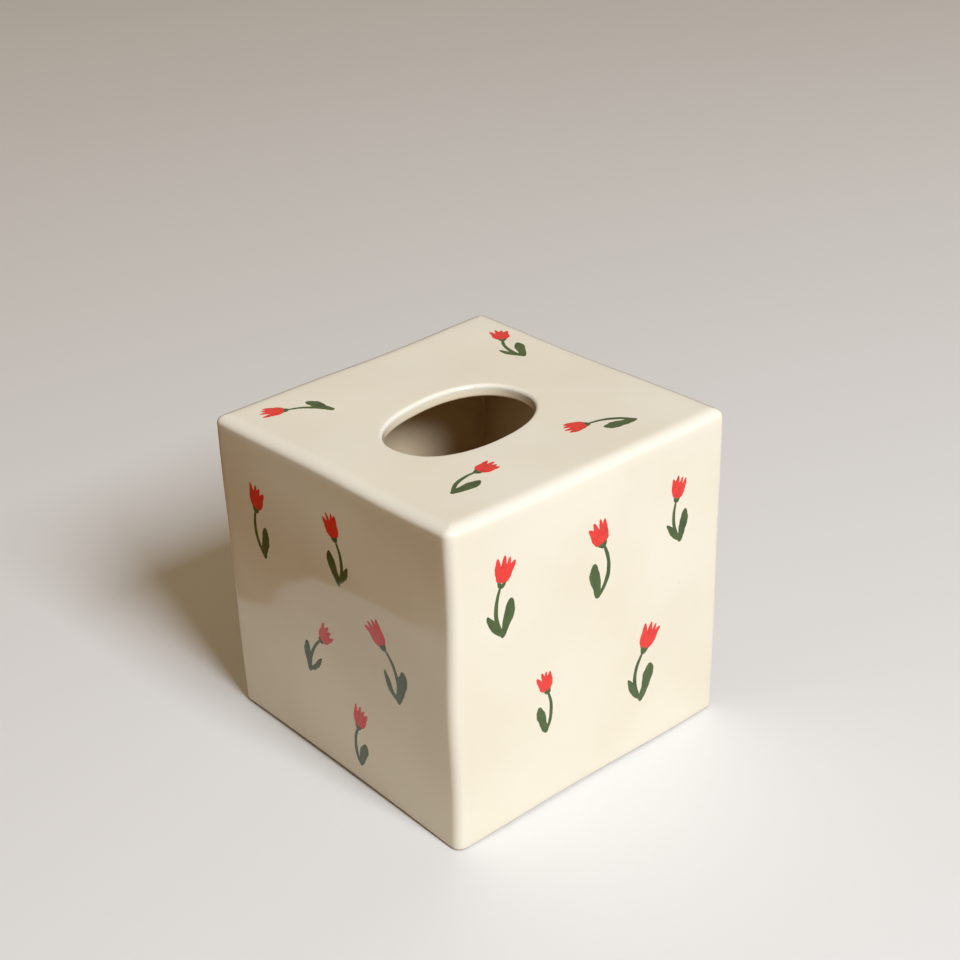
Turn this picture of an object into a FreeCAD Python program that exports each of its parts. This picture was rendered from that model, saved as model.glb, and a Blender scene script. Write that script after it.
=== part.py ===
# A square cover for a cube of paper tissues, in one piece of glazed stoneware.
# It is built by hand from slabs of one thickness: upright walls, a top that has sagged
# in the kiln and slopes down to its back left corner, soft edges, an oval mouth with a
# rolled lip, and an open foot that drops over the paper carton.
# Origin at the middle of the foot, +Z up, the front wall towards -Y, in millimetres.
import FreeCAD, Part
import math
import os

import Sketcher
from FreeCAD import Placement, Rotation, Vector

# Each driving size: its name, its value, and what it measures, in millimetres and degrees.
SIZES = (
    ("box_width", 145.2, "left to right over the walls"),
    ("box_depth", 144.4, "front to back over the walls"),
    ("box_height", 138.0, "foot to the corners of the top, on average"),
    ("slab_thickness", 5.3, "thickness of the walls and the top"),
    ("inside_corner_radius", 1.0, "radius of the upright corners, inside"),
    ("dish_radius", 3500.0, "radius of the shallow dish that the top has sagged to"),
    ("dish_left", 32.0, "lowest point of the dish, left of the middle"),
    ("dish_back", 32.0, "lowest point of the dish, behind the middle"),
    ("mouth_length", 68.8, "long way across the oval mouth"),
    ("mouth_width", 46.8, "short way across the oval mouth"),
    ("mouth_side_radius", 55.0, "radius of the oval's two long sides"),
    ("mouth_left", 6.8, "middle of the mouth, left of the middle of the top"),
    ("mouth_front", 2.5, "middle of the mouth, in front of the middle of the top"),
    ("mouth_turn", 7.5, "turn of the mouth against the front wall"),
    ("lip_radius", 2.2, "rounding of the mouth, above"),
    ("lip_under_bevel", 1.0, "bevel of the mouth, below"),
    ("foot_bevel", 0.8, "bevel of the wiped foot, inside and out"),
)

NODE = "tissue_cover"

# How far a cutting shape starts clear of the surface that it cuts.
CLEAR = 8.0

# What lies at the foot or on the mouth's edge, to within this much.
TOUCH = 0.01

# Where along an edge its points are taken, to tell where it lies.
PROBES = (0.0, 0.25, 0.5, 0.75, 1.0)

# How a sketch counts the points of a line or an arc, up from the line or arc itself.
POINTS = ("itself", "start", "end", "centre")
START = POINTS.index("start")
END = POINTS.index("end")
CENTRE = POINTS.index("centre")

# How a sketch counts its own axes, down from its origin, which shares the first number.
AXES = ("origin", "level", "upright")
ORIGIN = -1
LEVEL_AXIS = -AXES.index("level")
UPRIGHT_AXIS = -AXES.index("upright")

# The kinds of shell: one that grows outwards from a skin, with rounded outer edges.
SKIN, ROUNDED = 0, 0

QUARTER = math.pi / 2

# The lowest point of the dish lies this far under its corners, on average.
DISH_DEPTH = (
    "((sizes.box_width ^ 2 + sizes.box_depth ^ 2) / 4 + sizes.dish_left ^ 2"
    " + sizes.dish_back ^ 2) / (2 * sizes.dish_radius)"
)


def make_sheet(doc):
    """The spreadsheet that holds the driving sizes, one alias to a row."""
    sheet = doc.addObject("Spreadsheet::Sheet", "sizes")
    for row, (name, value, meaning) in enumerate(SIZES, start=1):
        sheet.set(f"A{row}", name)
        sheet.set(f"B{row}", str(value))
        sheet.set(f"C{row}", meaning)
        sheet.setAlias(f"B{row}", name)
    doc.recompute()
    return sheet


def worked_out(owner, expression):
    """The number that an expression on the sheet comes to."""
    return float(owner.evalExpression(expression))


def base_plane(body):
    """The body's own level plane, at the foot."""
    return next(f for f in body.Origin.OriginFeatures if f.Role == "XY_Plane")


def level_sketch(body, name):
    """An empty sketch on the body's base plane."""
    sketch = body.newObject("Sketcher::SketchObject", name)
    sketch.AttachmentSupport = (base_plane(body), [""])
    sketch.MapMode = "FlatFace"
    return sketch


def bind(sketch, kind, *where, size):
    """One constraint whose value is an expression on the sheet."""
    constraint = Sketcher.Constraint(kind, *where, worked_out(sketch, size))
    index = sketch.addConstraint(constraint)
    sketch.setExpression(f"Constraints[{index}]", size)


def arc(centre, radius, start, end):
    """An arc about a point of the sketch, between two angles in radians."""
    circle = Part.Circle(centre, Vector(0, 0, 1), radius)
    return Part.ArcOfCircle(circle, start, end)


def rounded_rectangle(sketch, width, depth, radius):
    """Four corner arcs joined by four straight sides, all about the sketch's origin."""
    half_x = worked_out(sketch, width) / 2
    half_y = worked_out(sketch, depth) / 2
    r = worked_out(sketch, radius)
    corners = []
    for quarter, (sx, sy) in enumerate(((1, 1), (-1, 1), (-1, -1), (1, -1))):
        centre = Vector(sx * (half_x - r), sy * (half_y - r), 0)
        turned = quarter * QUARTER
        corners.append(sketch.addGeometry(arc(centre, r, turned, turned + QUARTER)))
    sides = []
    for here, after in zip(corners, corners[1:] + corners[:1]):
        start = sketch.Geometry[here].EndPoint
        end = sketch.Geometry[after].StartPoint
        side = sketch.addGeometry(Part.LineSegment(start, end))
        sketch.addConstraint(Sketcher.Constraint("Tangent", here, END, side, START))
        sketch.addConstraint(Sketcher.Constraint("Tangent", side, END, after, START))
        sides.append(side)
    back, left, front, right = sides
    sketch.addConstraint(Sketcher.Constraint("Horizontal", front))
    sketch.addConstraint(Sketcher.Constraint("Vertical", right))
    for other in corners[1:]:
        sketch.addConstraint(Sketcher.Constraint("Equal", corners[0], other))
    sketch.addConstraint(
        Sketcher.Constraint("Symmetric", back, START, back, END, UPRIGHT_AXIS)
    )
    sketch.addConstraint(
        Sketcher.Constraint("Symmetric", left, START, left, END, LEVEL_AXIS)
    )
    bind(sketch, "Radius", corners[0], size=radius)
    bind(sketch, "DistanceX", left, START, right, START, size=width)
    bind(sketch, "DistanceY", front, START, back, START, size=depth)


def oval(sketch, length, width, side_radius):
    """Two long arcs and two end arcs that run into each other, about the origin."""
    end_radius = (
        f"({width} * {side_radius} - ({length} ^ 2 + {width} ^ 2) / 4)"
        f" / (2 * {side_radius} - {length})"
    )
    end_r = worked_out(sketch, end_radius)
    side_r = worked_out(sketch, side_radius)
    end_x = worked_out(sketch, length) / 2 - end_r
    side_y = side_r - worked_out(sketch, width) / 2
    lean = math.atan2(side_y, end_x)
    runs = (
        (Vector(end_x, 0, 0), end_r, -lean, lean),
        (Vector(0, -side_y, 0), side_r, lean, math.pi - lean),
        (Vector(-end_x, 0, 0), end_r, math.pi - lean, math.pi + lean),
        (Vector(0, side_y, 0), side_r, math.pi + lean, 2 * math.pi - lean),
    )
    arcs = [sketch.addGeometry(arc(*run)) for run in runs]
    right, back, left, front = arcs
    for here, after in zip(arcs, arcs[1:] + arcs[:1]):
        sketch.addConstraint(Sketcher.Constraint("Tangent", here, END, after, START))
    for end in (right, left):
        sketch.addConstraint(Sketcher.Constraint("PointOnObject", end, CENTRE, LEVEL_AXIS))
        bind(sketch, "Radius", end, size=end_radius)
    sketch.addConstraint(Sketcher.Constraint("PointOnObject", back, CENTRE, UPRIGHT_AXIS))
    for side in (back, front):
        bind(sketch, "Radius", side, size=side_radius)
    end_centre = f"{length} / 2 - {end_radius}"
    bind(sketch, "DistanceX", ORIGIN, START, right, CENTRE, size=end_centre)


def edges_where(feature, wanted):
    """The names of the feature's edges whose every probed point is wanted."""
    names = []
    for index, edge in enumerate(feature.Shape.Edges, start=1):
        first, last = edge.ParameterRange
        points = (edge.valueAt(first + share * (last - first)) for share in PROBES)
        if all(wanted(point) for point in points):
            names.append(f"Edge{index}")
    return names


def ease(body, kind, name, size_name, size, wanted):
    """Rounds or bevels the edges of the body as it stands that lie where wanted says."""
    before = body.Tip
    eased = body.newObject(kind, name)
    eased.Base = (before, edges_where(before, wanted))
    eased.setExpression(size_name, size)
    body.Document.recompute()
    return eased


def raise_room(body):
    """The room inside as a block of its own, from the foot up past the ceiling."""
    outline = level_sketch(body, "room_outline")
    rounded_rectangle(
        outline,
        "sizes.box_width - 2 * sizes.slab_thickness",
        "sizes.box_depth - 2 * sizes.slab_thickness",
        "sizes.inside_corner_radius",
    )
    room = body.newObject("PartDesign::Pad", "room")
    room.Profile = outline
    room.setExpression("Length", f"sizes.box_height + {CLEAR}")
    return room


def sag_ceiling(body):
    """Cuts the block down to the sagged ceiling: the underside of a very large ball."""
    ball = body.newObject("PartDesign::SubtractiveSphere", "sagged_ceiling")
    ball.AttachmentSupport = (base_plane(body), [""])
    ball.MapMode = "FlatFace"
    ball.AttachmentOffset = Placement(Vector(), Rotation(Vector(1, 0, 0), 90))
    ball.setExpression("Radius", "sizes.dish_radius + sizes.slab_thickness")
    ball.setExpression("AttachmentOffset.Base.x", "-sizes.dish_left")
    ball.setExpression("AttachmentOffset.Base.y", "sizes.dish_back")
    height = f"sizes.box_height - {DISH_DEPTH} + sizes.dish_radius"
    ball.setExpression("AttachmentOffset.Base.z", height)
    return ball


def lay_slabs(body):
    """Clay of one thickness round the room, open at the foot, its outer edges rounded."""
    body.Document.recompute()
    room = body.Tip
    foot = [
        f"Face{index}"
        for index, face in enumerate(room.Shape.Faces, start=1)
        if abs(face.CenterOfMass.z) < TOUCH
    ]
    slabs = body.newObject("PartDesign::Thickness", "slabs")
    slabs.Base = (room, foot)
    slabs.Mode = SKIN
    slabs.Join = ROUNDED
    slabs.Reversed = False
    slabs.setExpression("Value", "sizes.slab_thickness")
    body.Document.recompute()
    return slabs


def cut_mouth(body):
    """The oval mouth, cut straight down through the top."""
    closed = body.Shape.Volume
    outline = level_sketch(body, "mouth_outline")
    outline.AttachmentOffset = Placement(Vector(), Rotation(Vector(0, 0, 1), 1))
    outline.setExpression("AttachmentOffset.Base.x", "-sizes.mouth_left")
    outline.setExpression("AttachmentOffset.Base.y", "-sizes.mouth_front")
    outline.setExpression("AttachmentOffset.Base.z", f"sizes.box_height + {CLEAR}")
    outline.setExpression("AttachmentOffset.Rotation.Angle", "sizes.mouth_turn")
    oval(outline, "sizes.mouth_length", "sizes.mouth_width", "sizes.mouth_side_radius")
    mouth = body.newObject("PartDesign::Pocket", "mouth")
    mouth.Profile = outline
    mouth.Type = "ThroughAll"
    body.Document.recompute()
    if mouth.Shape.Volume >= closed:
        raise RuntimeError("The mouth cuts nothing.")
    return mouth


def finish_edges(body):
    """The rolled lip, the bevel under it, and the wiped foot."""
    left = worked_out(body, "sizes.mouth_left")
    front = worked_out(body, "sizes.mouth_front")
    middle = Vector(-left, -front, 0)
    reach = worked_out(body, "sizes.mouth_length / 2") + TOUCH
    plate_middle = worked_out(
        body, f"sizes.box_height - {DISH_DEPTH} - sizes.slab_thickness / 2"
    )

    def on_mouth(point):
        return Vector(point.x, point.y, 0).distanceToPoint(middle) <= reach

    def above(point):
        return on_mouth(point) and point.z > plate_middle

    def below(point):
        return on_mouth(point) and 0 < point.z < plate_middle

    def at_foot(point):
        return point.z < TOUCH

    ease(body, "PartDesign::Fillet", "lip", "Radius", "sizes.lip_radius", above)
    ease(body, "PartDesign::Chamfer", "lip_under", "Size", "sizes.lip_under_bevel", below)
    ease(body, "PartDesign::Chamfer", "foot", "Size", "sizes.foot_bevel", at_foot)


def check(doc, body):
    """Stops if anything in the document failed, or the body isn't one sound solid."""
    for thing in doc.Objects:
        if {"Invalid", "Error"} & set(thing.State):
            raise RuntimeError(f"{thing.Name} failed: {thing.State}")
    shape = body.Shape
    if shape.isNull() or not shape.isValid() or len(shape.Solids) != 1:
        raise RuntimeError(f"{body.Label} isn't one sound solid.")


doc = FreeCAD.newDocument("tissue_cover")
make_sheet(doc)
cover = doc.addObject("PartDesign::Body", "cover")
cover.Label = NODE
cover.Placement = Placement()
raise_room(cover)
sag_ceiling(cover)
lay_slabs(cover)
cut_mouth(cover)
finish_edges(cover)
doc.recompute()
check(doc, cover)

os.makedirs("parts", exist_ok=True)
cover.Shape.exportStep(f"parts/{NODE}.step")
box = cover.Shape.optimalBoundingBox(False)
print(f"{NODE}: {box.XLength:.2f} x {box.YLength:.2f} x {box.ZLength:.2f} mm")
print(f"clay: {cover.Shape.Volume:.0f} cubic mm")
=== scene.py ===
import math
import random

import bpy
from mathutils import Matrix, Vector


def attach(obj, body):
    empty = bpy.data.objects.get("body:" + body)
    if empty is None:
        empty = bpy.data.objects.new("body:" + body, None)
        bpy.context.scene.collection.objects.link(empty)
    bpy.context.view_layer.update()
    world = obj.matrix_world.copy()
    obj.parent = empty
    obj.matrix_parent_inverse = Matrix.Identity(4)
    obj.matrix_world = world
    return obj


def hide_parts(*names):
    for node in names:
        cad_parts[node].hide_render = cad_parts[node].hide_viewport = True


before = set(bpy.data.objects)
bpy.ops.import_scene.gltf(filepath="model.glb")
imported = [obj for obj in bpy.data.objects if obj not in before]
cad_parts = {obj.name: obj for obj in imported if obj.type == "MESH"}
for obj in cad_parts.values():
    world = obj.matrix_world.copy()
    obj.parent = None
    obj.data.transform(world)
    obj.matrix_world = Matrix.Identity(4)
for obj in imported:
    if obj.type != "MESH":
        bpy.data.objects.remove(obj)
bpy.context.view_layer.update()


# The clay body is four slab walls and a top of pale stoneware, joined while soft and
# smoothed over by hand, with an oval mouth cut through the top. The walls lean and wave a
# little, the top has sagged towards one corner, and the foot bows up between its corners.
mm = 0.001
half_width = 71.6 * mm
half_depth = 71.5 * mm
corner_height = 138 * mm
slab = 5.3 * mm
corner_round = 4.3 * mm
shoulder_across = 6.4 * mm
shoulder_down = 3.6 * mm
inside_round = 1 * mm
foot_round = 1 * mm
ceiling_round = 1.5 * mm
dish_radius = 3500 * mm
dish_low_point = Vector((-32, 32)) * mm
mouth_middle = Vector((-6.8, -2.5)) * mm
mouth_half_length = 34.4 * mm
mouth_half_width = 23.4 * mm
mouth_turn = math.radians(7.5)
mouth_squareness = 2.25
lip_round = 1.6 * mm
lip_under_round = 1 * mm

# How far each upright edge leans right and back, in millimetres, at the foot and at the top.
foot_lean = {(-1, -1): (-0.6, 0.2), (1, -1): (-0.5, 0), (-1, 1): (1.7, 0.4), (1, 1): (-0.2, -0.3)}
top_lean = {(-1, -1): (0.9, 0), (1, -1): (0.4, -0.4), (-1, 1): (-0.2, 0), (1, 1): (0.1, -0.2)}
top_warp = 0.5 * mm

# The foot is short at its back left corner. It bows up between its corners, by foot_bow on the
# right wall, and more on the left wall by the share after it. Both fade out over the lowest
# sixth of the wall.
short_corner = 0.8 * mm
foot_bow = 0.45 * mm
foot_bow_more = 1.7
foot_fade = 6

# The waves of the walls: their heights on the left wall, on the right wall and elsewhere, and
# the turn of a wave that comes again after 92 mm.
left_wave = 0.896 * mm
right_wave = 0.364 * mm
small_wave = 0.28 * mm
wave_turn = math.tau / (92 * mm)

corner_steps = 10
side_steps = 46
wall_rings = 44
turn_steps = 8
top_rings = 18
ceiling_rings = 9
inner_rings = 22


def on_top(place):
    """Height of the sagged top over a place, before it is shaped by hand."""
    edge = half_width**2 + half_depth**2 + dish_low_point.length_squared
    lowest = corner_height - edge / (2 * dish_radius)
    return lowest + (Vector(place) - dish_low_point).length_squared / (2 * dish_radius)


def wave(across, often_across, start_across, along, often_along, start_along):
    """The wave at a place on a wall or on the top, between -1 and 1: how often it comes again
    and where it starts, across the face and along it."""
    swell_across = math.sin(often_across * wave_turn * across + start_across)
    swell_along = math.sin(often_along * wave_turn * along + start_along)
    return swell_across * swell_along


def shaped(point):
    """A point of the true box after the lean, the warp and the waves of hand building."""
    x, y, z = point
    east = 0.5 + 0.5 * x / half_width
    north = 0.5 + 0.5 * y / half_depth
    up = z / corner_height
    lean = Vector((0, 0))
    for side, foot in foot_lean.items():
        share = (east if side[0] > 0 else 1 - east) * (north if side[1] > 0 else 1 - north)
        lean += share * Vector(foot).lerp(Vector(top_lean[side]), up) * mm
    wave_x = wave(y, 0.415, 1.8 + 9 * x, z, 1.14, 3.03)
    wave_y = wave(x, 1, 2.6 + 7 * y, z, 1.2, 2.0)
    wave_z = wave(x, 1.1, 0.4, y, 1, 0.9) * up
    warp = top_warp * (x / half_width) * (y / half_depth) * up
    arch = max(1 - (min(abs(x), abs(y)) / half_width) ** 2, 0)
    bow = foot_bow * arch * (1 + foot_bow_more * (1 - east) ** 2)
    short = short_corner * ((1 - east) * north) ** 2
    lift = (bow + short) * max(1 - foot_fade * up, 0)
    return Vector((
        x + lean.x + wave_x * (left_wave + (right_wave - left_wave) * east),
        y + lean.y + wave_y * small_wave,
        z + wave_z * small_wave + warp + lift,
    ))


def square_ring(inset, radius, height):
    """A ring round the box, this far inside its walls, level or at a height of each place."""
    across, along = half_width - inset - radius, half_depth - inset - radius
    ring = []
    for quarter, (sx, sy) in enumerate(((1, 1), (-1, 1), (-1, -1), (1, -1))):
        centre = Vector((sx * across, sy * along))
        after = Vector((-sy * across, sx * along))
        for step in range(corner_steps + side_steps):
            turn = min(step / corner_steps, 1)
            share = max(step - corner_steps, 0) / side_steps
            angle = (quarter + turn) * math.pi / 2
            place = centre.lerp(after, share) + radius * Vector((math.cos(angle), math.sin(angle)))
            ring.append(Vector((*place, height(place) if callable(height) else height)))
    return ring


def mouth_ring(grow, height):
    """A ring round the mouth, this far outside the wall of the mouth."""
    ring = []
    for spot in square_ring(0, corner_round, 0):
        away = spot.xy - mouth_middle
        angle = math.atan2(away.y, away.x) - mouth_turn
        long_share = abs(math.cos(angle) / (mouth_half_length + grow)) ** mouth_squareness
        short_share = abs(math.sin(angle) / (mouth_half_width + grow)) ** mouth_squareness
        reach = (long_share + short_share) ** (-1 / mouth_squareness)
        place = mouth_middle + away.normalized() * reach
        ring.append(Vector((*place, height(place))))
    return ring


def between(first, last, count, drop=None):
    """Rings spread evenly between two, this far below the top if a drop is given."""
    rings = []
    for step in range(1, count):
        ring = [a.lerp(b, step / count) for a, b in zip(first, last)]
        if drop is not None:
            ring = [Vector((*p.xy, on_top(p.xy) - drop)) for p in ring]
        rings.append(ring)
    return rings


def below_top(drop):
    """A height that follows the sagged top, this far below it."""
    return lambda place: on_top(place) - drop


def body_rings():
    """The rings of the body, up the outside from the foot, over the top, down through the
    mouth and back along the ceiling and walls, how thin the glaze runs on each, which also sets a
    painted highlight on the edges and the lip, and how much each takes of the warm inside colour,
    which is partly the clay through thin glaze and partly painted warm bounced light and shade."""
    turns = [step / turn_steps * math.pi / 2 for step in range(turn_steps + 1)]
    few_turns = turns[::2]
    outer_foot = [
        square_ring(foot_round * (1 - math.sin(a)), corner_round - foot_round * (1 - math.sin(a)),
                    foot_round * (1 - math.cos(a)))
        for a in few_turns
    ]
    shoulder = [
        square_ring(shoulder_across * (1 - math.cos(a)),
                    max(corner_round - shoulder_across * (1 - math.cos(a)), 0.4 * mm),
                    below_top(shoulder_down * (1 - math.sin(a))))
        for a in turns
    ]
    lip = [
        mouth_ring(lip_round * (1 - math.sin(a)), below_top(lip_round * (1 - math.cos(a))))
        for a in turns
    ]
    lip_under = [
        mouth_ring(lip_under_round * (1 - math.cos(a)),
                   below_top(slab - lip_under_round * (1 - math.sin(a))))
        for a in few_turns
    ]
    cove = [
        square_ring(slab + ceiling_round * (1 - math.sin(a)), inside_round,
                    below_top(slab + ceiling_round * (1 - math.cos(a))))
        for a in few_turns
    ]
    inner_foot = [
        square_ring(slab - foot_round * (1 - math.cos(a)),
                    inside_round + foot_round * (1 - math.cos(a)),
                    foot_round * (1 - math.sin(a)))
        for a in few_turns
    ]
    walls = between(outer_foot[-1], shoulder[0], wall_rings)
    top = between(shoulder[-1], lip[0], top_rings, drop=0)
    mouth = between(lip[-1], lip_under[0], 3)
    ceiling = between(lip_under[-1], cove[0], ceiling_rings, drop=slab)
    inside = between(cove[-1], inner_foot[0], inner_rings)
    rings = outer_foot + walls + shoulder + top + lip + mouth + lip_under
    room = ceiling + cove + inside + inner_foot
    # The warm inside colour, in part on the wall of the mouth and fully below the lip: partly clay
    # under thin glaze, partly painted warm bounced light and shade.
    inside_warmth = [0] * (len(rings) - len(mouth + lip_under))
    inside_warmth += [0.6] * len(mouth) + [1] * len(lip_under + room)
    # The shoulder and the lip take a paler glaze: partly thin glaze, partly a painted highlight.
    thin = [0] * len(rings + room)
    start = len(outer_foot) + len(walls)
    for row, angle in enumerate(turns):
        thin[start + row] = math.sin(2 * angle)
        thin[start + len(shoulder) + len(top) + row] = math.sin(2 * angle)
    return rings + room, thin, inside_warmth


def formed(name, points, faces):
    """A smooth piece from points and faces, in the scene."""
    mesh = bpy.data.meshes.new(name)
    mesh.from_pydata(points, [], faces)
    mesh.polygons.foreach_set("use_smooth", [True] * len(faces))
    piece = bpy.data.objects.new(name, mesh)
    bpy.context.collection.objects.link(piece)
    return piece


rings, ring_thin_and_highlight, ring_inside_warmth = body_rings()
steps_round = len(rings[0])
body_faces = []
for row in range(len(rings)):
    here, after = row * steps_round, (row + 1) % len(rings) * steps_round
    for step in range(steps_round):
        beside = (step + 1) % steps_round
        body_faces.append((here + step, here + beside, after + beside, after + step))
cover = formed("stoneware_cover", [shaped(p) for ring in rings for p in ring], body_faces)

glaze_thin_and_highlight, inside = [], []
for ring, thin, inside_warmth in zip(rings, ring_thin_and_highlight, ring_inside_warmth):
    inside += [inside_warmth] * len(ring)
    for p in ring:
        # The upright corners are paler too: partly thin glaze, partly a painted highlight.
        to_corner = max(half_width - abs(p.x), half_depth - abs(p.y)) / corner_round
        upright = max(1 - to_corner, 0) if p.z > foot_round else 0
        glaze_thin_and_highlight.append(max(thin, upright))
for name, values in (("glaze_thin_and_highlight", glaze_thin_and_highlight), ("inside", inside)):
    cover.data.attributes.new(name, "FLOAT", "POINT").data.foreach_set("value", values)


class Tone:
    """A value, colour or normal of a finish. Sums on values add their nodes to it."""

    def __init__(self, tree, socket=None):
        self.tree = tree
        self.socket = socket

    def node(self, kind, settings, inputs, output=0):
        """A node of this kind: its settings, then its inputs, and the output wanted."""
        made = self.tree.nodes.new("ShaderNode" + kind)
        for name, value in settings.items():
            setattr(made, name, value)
        for key, value in inputs.items():
            if isinstance(value, Tone):
                self.tree.links.new(value.socket, made.inputs[key])
            else:
                made.inputs[key].default_value = value
        return Tone(self.tree, made.outputs[output] if made.outputs else None)

    def math(self, operation, *values):
        return self.node("Math", {"operation": operation}, dict(enumerate(values)))

    def __add__(self, other):
        return self.math("ADD", self, other)

    def __sub__(self, other):
        return self.math("SUBTRACT", self, other)

    def __mul__(self, other):
        return self.math("MULTIPLY", self, other)

    def __rsub__(self, other):
        return self.math("SUBTRACT", other, self)

    def at_least(self, other):
        return self.math("MAXIMUM", self, other)

    __radd__ = __add__
    __rmul__ = __mul__

    def rise(self, low, high):
        """0 below low, 1 above high, and a smooth rise between them."""
        ends = {"Value": self, "From Min": low, "From Max": high}
        return self.node("MapRange", {"interpolation_type": "SMOOTHSTEP"}, ends)

    def blend(self, first, second):
        """The first colour where this value is 0, the second where it is 1."""
        return self.node("Mix", {"data_type": "RGBA"}, {0: self, 6: first, 7: second}, 2)

    def cloud(self, size, detail=2.0):
        """Cloudy values about a half, in patches of this size, over this place."""
        return self.node("TexNoise", {}, {"Vector": self, "Scale": 1 / size, "Detail": detail})

    def bumped(self, depth):
        """The normal of a surface that this value raises by as much as the depth."""
        return self.node("Bump", {}, {"Height": self, "Distance": depth})


def seen(red, green, blue):
    """A colour as the eye reads it, from 0 to 255, in the values that the finish takes."""
    shown = [value / 255 for value in (red, green, blue)]
    return (*((v + 0.055) ** 2.4 / 1.055**2.4 if v > 0.04 else v / 12.92 for v in shown), 1)


def new_finish(name):
    """A new material, and its empty tree."""
    material = bpy.data.materials.new(name)
    material.use_nodes = True
    material.node_tree.nodes.clear()
    return material, Tone(material.node_tree)


# The glaze is a glassy cream, poured on, so that it swells and thins a little. It runs off the
# edges and the lip and is paler there, partly thin glaze and partly a painted highlight, a few
# iron specks rise through it, the clay and a painted warm bounced light and shade warm the thin
# coat inside and in the mouth, and the foot is wiped down to the bare clay.
cream = seen(246, 241, 224)
cream_pooled = seen(243, 237, 217)
# Warmer and lighter inside: partly the clay through the thin glaze, partly painted warm bounced
# light.
inside_clay_and_bounce = seen(252, 231, 196)
cream_thin_and_highlight = seen(250, 245, 232)
iron_speck = seen(190, 165, 125)
bare_clay = seen(206, 190, 162)

glaze, mix = new_finish("cream_glaze")
place = mix.node("TexCoord", {}, {}, "Object")
height = mix.node("SeparateXYZ", {}, {"Vector": place}, "Z")
thin = mix.node("Attribute", {"attribute_name": "glaze_thin_and_highlight"}, {}, "Fac")
pooled = place.cloud(48 * mm, 3).rise(0.36, 0.70)
colour = pooled.blend(cream, cream_pooled)
# Paler on the edges, corners and lip: partly thin glaze, partly a painted highlight.
colour = (thin * 0.75).blend(colour, cream_thin_and_highlight)

cells = {"Vector": place, "Scale": 1 / (8 * mm)}
speck_away = mix.node("TexVoronoi", {}, cells, "Distance")
speck_draw = mix.node("TexVoronoi", {}, cells, "Color")
chosen = mix.node("SeparateColor", {}, {"Color": speck_draw}, "Red").rise(0.62, 0.68)
speck = (1 - speck_away.rise(0.014, 0.040)) * chosen
colour = (speck * 0.55).blend(colour, iron_speck)
# Inside and in the mouth the colour turns warmer: partly the clay, partly painted warm bounced
# light and shade.
inner = mix.node("Attribute", {"attribute_name": "inside"}, {}, "Fac")
colour = inner.blend(colour, inside_clay_and_bounce)

wiped = 1 - (height - place.cloud(4 * mm) * (1.4 * mm)).rise(-0.1 * mm, 0.5 * mm)
colour = wiped.blend(colour, bare_clay)
swell = place.cloud(30 * mm, 1) + place.cloud(2.4 * mm) * 0.02
shine = place.cloud(14 * mm) * 0.06 + 0.06 + wiped * 0.7
surface = mix.node("BsdfPrincipled", {}, {
    "Base Color": colour, "Roughness": shine, "Normal": swell.bumped(0.25 * mm), "IOR": 1.6,
})
mix.node("OutputMaterial", {}, {"Surface": surface})

cover.data.materials.append(glaze)
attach(cover, "root")
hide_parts("tissue_cover")


# The sprigs are generic tulips, painted on the raw clay with a soft round brush, one stroke
# to a stem, leaf, calyx or petal, and covered by the glaze. Each stroke is a thin pad that
# follows the wall, a little higher where it lies over another, with ends this blunt.
paint_lift = 0.05 * mm
paint_layer = 0.012 * mm
paint_sunk = 0.03 * mm
paint_ends = 7
stem_height = 20
head_height = 19.6
stroke_rows = 20
stroke_columns = 8
stroke_shown = 12

# Across the face and up it in millimetres, the turn in degrees, the size, the bend of the
# stem, and the side that the larger leaf grows on.
front_sprigs = (
    (-48, 86, 8, 1.08, 2.6, 1), (2, 82, -14, 1.12, -3.4, -1), (46, 90, 12, 0.94, 2.2, 1),
    (-26, 34, -10, 0.90, -2.2, -1), (26, 24, 6, 1.15, 3.4, 1),
)
left_sprigs = (
    (-44, 82, 12, 1.06, 2.4, 1), (6, 90, -8, 0.98, -3.0, -1), (-18, 40, -16, 0.92, 2.4, -1),
    (38, 52, 10, 1.12, -3.2, 1), (12, 9, 4, 0.96, 2.0, 1),
)
back_sprigs = (
    (-40, 82, -9, 1.10, 2.2, 1), (8, 92, 13, 0.94, -3.3, -1), (46, 64, -12, 1.00, 2.3, -1),
    (-14, 40, 6, 1.14, -2.2, 1), (30, 12, -5, 0.96, 3.2, 1),
)
right_sprigs = (
    (-34, 88, 10, 0.96, -2.4, -1), (20, 84, -12, 1.12, 3.4, 1), (-42, 30, 7, 1.06, 2.2, 1),
    (4, 38, -8, 0.92, -2.0, -1), (44, 26, 14, 1.12, 3.2, 1),
)
top_sprigs = (
    (-50, -48, -64, 0.92, 2.4, 1), (40, -52, 48, 0.95, -2.4, -1), (52, 24, -8, 0.92, 2.4, 1),
    (-36, 40, 38, 0.95, -2.2, 1),
)

east, north, up = Vector((1, 0, 0)), Vector((0, 1, 0)), Vector((0, 0, 1))
faces = (
    (east, up, -half_depth * north, front_sprigs),
    (-north, up, -half_width * east, left_sprigs),
    (-east, up, half_depth * north, back_sprigs),
    (north, up, half_width * east, right_sprigs),
    (east, north, Vector(), top_sprigs),
)

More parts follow.
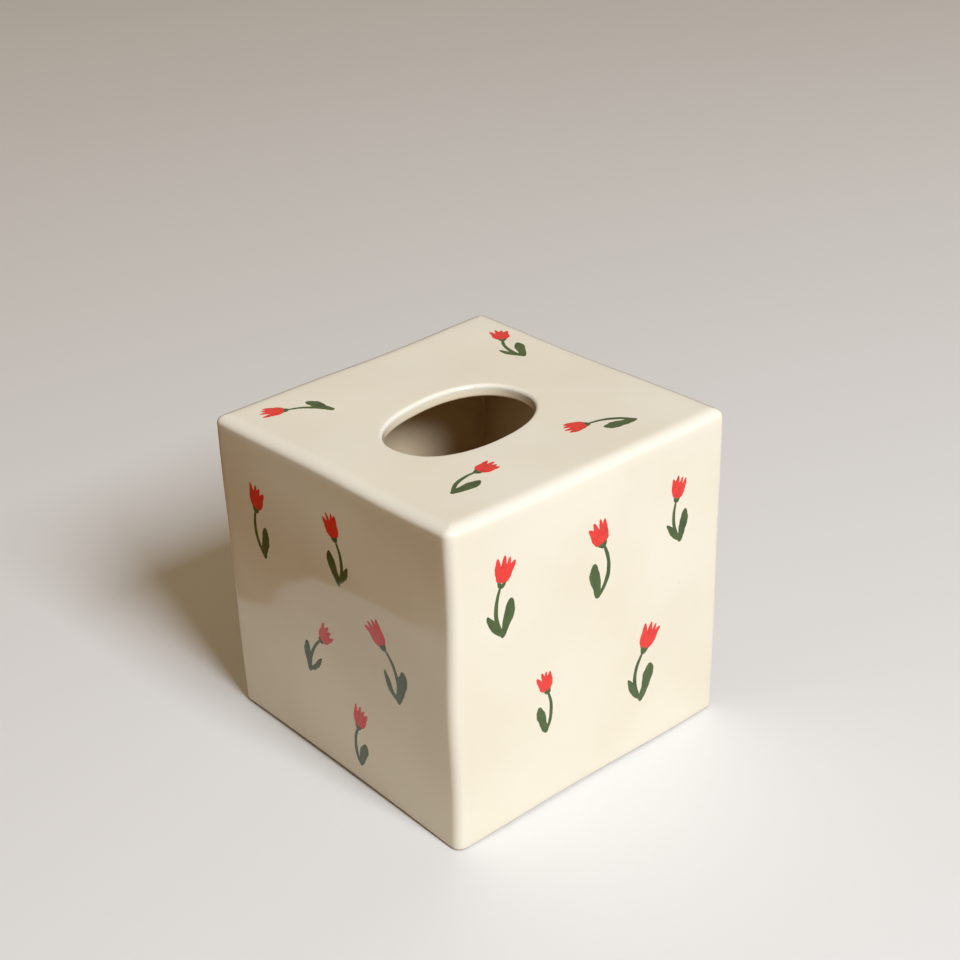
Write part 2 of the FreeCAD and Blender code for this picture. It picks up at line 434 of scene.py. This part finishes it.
# The strokes of a sprig, as across, up and half the width of the brush mark, in millimetres:
# the stem and leaves from the foot of the stem, the rest from its top.
leaf = ((-0.2, -0.8, 1.4), (2.0, 3.4, 2.2), (4.6, 8.6, 2.9), (6.4, 13.4, 1.3))
small_leaf = ((0.2, 0.4, 1.0), (-2.2, 4.0, 1.5), (-4.0, 7.8, 1.6), (-5.2, 11.4, 0.6))
calyx = ((-1.9, 1.2, 0.6), (0.0, -0.3, 1.2), (1.9, 1.2, 0.6))
petals = (
    ((-0.4, 0.3, 1.0), (-2.1, 3.2, 1.8), (-3.1, 6.8, 1.5), (-4.3, 10.2, 0.6)),
    ((0.4, 0.3, 1.0), (2.0, 3.2, 1.8), (2.9, 6.8, 1.5), (3.9, 9.6, 0.6)),
    ((-0.1, 0.6, 1.0), (-0.8, 3.8, 2.2), (-0.9, 7.4, 1.4), (-1.3, 11.2, 0.6)),
    ((0.2, 0.6, 1.0), (0.9, 3.8, 2.0), (1.0, 7.0, 1.3), (1.4, 10.6, 0.6)),
)

hand = random.Random(7)


def through(marks, rows):
    """A smooth line of this many rows through the marks of a stroke."""
    marks = [Vector(mark) for mark in marks]
    marks = [2 * marks[0] - marks[1], *marks, 2 * marks[-1] - marks[-2]]
    line = []
    for row in range(rows + 1):
        place = row / rows * (len(marks) - 3)
        span = min(int(place), len(marks) - 4)
        a, b, c, d = marks[span:span + 4]
        s = place - span
        bend = (2 * a - 5 * b + 4 * c - d) + s * (3 * b - a - 3 * c + d)
        line.append(b + s / 2 * (c - a + s * bend))
    return line


class Paint:
    """The brush marks of one colour, gathered into one piece."""

    def __init__(self):
        self.points = []
        self.faces = []
        self.brush = []

    def stroke(self, face, place, turn, size, marks, layer=0, mirror=1):
        """One stroke. place is on the face in millimetres, and the marks turn about it."""
        right, rise, start, _ = face
        out = right.cross(rise)
        seed = hand.uniform(0, 40)
        thick = paint_lift + layer * paint_layer + paint_sunk
        line = through(marks, stroke_rows)
        first = len(self.points)
        for row, (x, y, half) in enumerate(line):
            before, after = line[max(row - 1, 0)], line[min(row + 1, stroke_rows)]
            aside = Vector((before.y - after.y, after.x - before.x)).normalized()
            done = row / stroke_rows
            end = (1 - abs(2 * done - 1) ** paint_ends) ** 0.5
            for column in range(stroke_columns + 1):
                over = 2 * column / stroke_columns - 1
                ragged = 1 + 0.07 * math.sin(13 * done + seed + over)
                ragged += 0.05 * math.sin(31 * done + seed * over)
                spot = Vector((x, y)) + aside * over * max(half, 0.05) * ragged * end
                spot.x *= mirror
                spot = place + size * (Matrix.Rotation(turn, 2) @ spot)
                flat = start + (right * spot.x + rise * spot.y) * mm
                if rise.y:
                    flat.z = on_top(flat.xy)
                self.points.append(shaped(flat) + out * (thick * (1 - over**4) * end - paint_sunk))
                self.brush.extend((done * stroke_shown, over * half, seed))
        wide = stroke_columns + 1
        for row in range(stroke_rows):
            for column in range(stroke_columns):
                a = first + row * wide + column
                quad = (a, a + wide, a + wide + 1, a + 1)
                self.faces.append(quad if mirror > 0 else quad[::-1])

    def piece(self, name):
        """The marks as one piece, which tells the finish where each point lies in its stroke."""
        painted = formed(name, self.points, self.faces)
        brush = painted.data.attributes.new("brush", "FLOAT_VECTOR", "POINT")
        brush.data.foreach_set("vector", self.brush)
        return painted


def loosened(marks, by=0.35):
    """The marks of a stroke, each moved a little, as no two strokes of a hand are alike."""
    return [
        (x + hand.uniform(-by, by), y + hand.uniform(-by, by), half * hand.uniform(0.88, 1.1))
        for x, y, half in marks
    ]


red, green = Paint(), Paint()
for face in faces:
    for across, high, lean, size, bend, side in face[3]:
        root = Vector((across, high))
        turn = math.radians(lean)
        # The bloom nods the way that the top of its stem points.
        nod = turn + math.atan2(-1.1 * bend, 6)
        head = root + size * (Matrix.Rotation(turn, 2) @ Vector((bend, head_height)))
        stem = (
            (0, 0, 1.0), (-0.6 * bend, 7, 1.15), (-0.2 * bend, 14, 0.95), (bend, stem_height, 0.8),
        )
        green.stroke(face, root, turn, size, stem)
        green.stroke(face, root, turn, size, loosened(leaf), 1, side)
        if hand.random() < 0.5:
            green.stroke(face, root, turn, size, loosened(small_leaf), 1, side)
        for layer, petal in enumerate(petals):
            red.stroke(face, head, nod, size, loosened(petal, 0.3), layer)
        green.stroke(face, head, nod, size, loosened(calyx, 0.15), 4)


def brushed(name, full, worn, pooled):
    """A brushed underglaze: streaks along the stroke, thin in places and pooled in others."""
    material, mix = new_finish(name)
    place = mix.node("TexCoord", {}, {}, "Object")
    brush = mix.node("Attribute", {"attribute_name": "brush"}, {}, "Vector")
    drawn = mix.node("VectorMath", {"operation": "MULTIPLY"}, {0: brush, 1: (0.22, 2.4, 1)})
    streak = drawn.cloud(1.0, 3)
    wash = brush.cloud(4.0, 1)
    colour = streak.rise(0.50, 0.72).blend(full, worn)
    colour = (wash.rise(0.45, 0.75) * 0.8).blend(colour, pooled)
    shine = place.cloud(14 * mm) * 0.06 + 0.08
    surface = mix.node("BsdfPrincipled", {}, {
        "Base Color": colour, "Roughness": shine, "Normal": streak.bumped(0.02 * mm), "IOR": 1.6,
    })
    mix.node("OutputMaterial", {}, {"Surface": surface})
    return material


blooms = red.piece("painted_blooms")
red_paint = brushed("red_underglaze", seen(240, 34, 20), seen(248, 66, 46), seen(214, 24, 16))
blooms.data.materials.append(red_paint)
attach(blooms, "root")

greens = green.piece("painted_stems_and_leaves")
green_paint = brushed("green_underglaze", seen(62, 88, 26), seen(80, 106, 40), seen(44, 68, 24))
greens.data.materials.append(green_paint)
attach(greens, "root")


# The floor is a plain white table top with a faint sheen, and the cover stands near its far
# left corner. Past its edges it gives back a darker and warmer light. The camera is shown the
# same white all over, so that the floor looks plain.
def white_top(name, shown_to_gloss, bounced):
    """The white of the table, and what its light adds to things that stand on it."""
    material, mix = new_finish(name)
    place = mix.node("TexCoord", {}, {}, "Object")
    white = place.cloud(0.4, 1).blend(seen(237, 238, 239), seen(234, 235, 236))
    lacquer = mix.node("BsdfPrincipled", {}, {"Base Color": white, "Roughness": 0.5})
    other = mix.node("BsdfDiffuse", {}, {"Color": (*bounced, 1)})
    shown = mix.node("LightPath", {}, {}, "Is Camera Ray")
    if shown_to_gloss:
        shown = shown + mix.node("LightPath", {}, {}, "Is Glossy Ray")
    both = mix.node("MixShader", {}, {0: shown, 1: other, 2: lacquer})
    mix.node("OutputMaterial", {}, {"Surface": both})
    return material


table_length = 1.2
table_depth = 0.7
table_turn = math.radians(-39)
far_corner = Vector((12, 298, 0)) * mm
back_edge = Vector((math.cos(table_turn), math.sin(table_turn), 0))
side_edge = Vector((back_edge.y, -back_edge.x, 0))
table_corners = ((0, 0), (0, table_depth), (table_length, table_depth), (table_length, 0))
outer_corners = ((-7, -7), (-7, 8), (8, 8), (8, -7))
floor_points = [
    far_corner + back_edge * along + side_edge * out
    for along, out in table_corners + outer_corners
]
past_edges = [(1, 0, 4, 5), (2, 1, 5, 6), (3, 2, 6, 7), (0, 3, 7, 4)]
floor = formed("floor", floor_points, [(0, 1, 2, 3), *past_edges])
floor.data.materials.append(white_top("table_white", True, (0.58, 0.50, 0.39)))
floor.data.materials.append(white_top("white_past_edges", False, (0.28, 0.155, 0.06)))
floor.data.polygons.foreach_set("material_index", [0, 1, 1, 1, 1])


# The light is one large soft window in front, with a weak warm fill from all round, which is
# stronger from above. The camera sees plain pale surroundings, and the gloss of the glaze
# sees them in part.
window = bpy.data.objects.new("window", bpy.data.lights.new("window", "AREA"))
bpy.context.collection.objects.link(window)
window.data.shape = "RECTANGLE"
window.data.size = 0.95
window.data.size_y = 1.0
window.data.energy = 82
window.data.color = (0.94, 0.985, 1.05)
window.location = (-0.206, -2.12, 1.94)
window.rotation_euler = window.location.to_track_quat("Z", "Y").to_euler()

world = bpy.data.worlds.new("room")
bpy.context.scene.world = world
world.use_nodes = True
world.node_tree.nodes.clear()
room = Tone(world.node_tree)
towards = room.node("TexCoord", {}, {}, "Generated")
upward = room.node("SeparateXYZ", {}, {"Vector": towards}, "Z").at_least(0)
overhead = upward * upward
strength = overhead * overhead * 0.48 + 0.08
looked_at = room.node("LightPath", {}, {}, "Is Camera Ray")
mirrored = room.node("LightPath", {}, {}, "Is Glossy Ray")
fill = room.node("Background", {}, {"Color": (1.0, 0.70, 0.37, 1), "Strength": strength})
pale = room.node("Background", {}, {"Color": (0.86, 0.80, 0.71, 1), "Strength": 1.0})
both = room.node("MixShader", {}, {0: looked_at + mirrored * 0.45, 1: fill, 2: pale})
room.node("OutputWorld", {}, {"Surface": both})


# The view is a long lens that looks down on the corner between the front and the left wall,
# held a touch out of level.
camera = bpy.data.objects.new("camera", bpy.data.cameras.new("camera"))
bpy.context.collection.objects.link(camera)
camera.data.lens = 69.05
camera.matrix_world = (
    Matrix.Translation(Vector((-424.2, -497.5, 446.4)) * mm)
    @ Matrix.Rotation(math.radians(-40.84), 4, "Z")
    @ Matrix.Rotation(math.radians(90 - 27.47), 4, "X")
    @ Matrix.Rotation(math.radians(-1.75), 4, "Z")
)
bpy.context.scene.camera = camera
bpy.context.scene.view_settings.view_transform = "Standard"
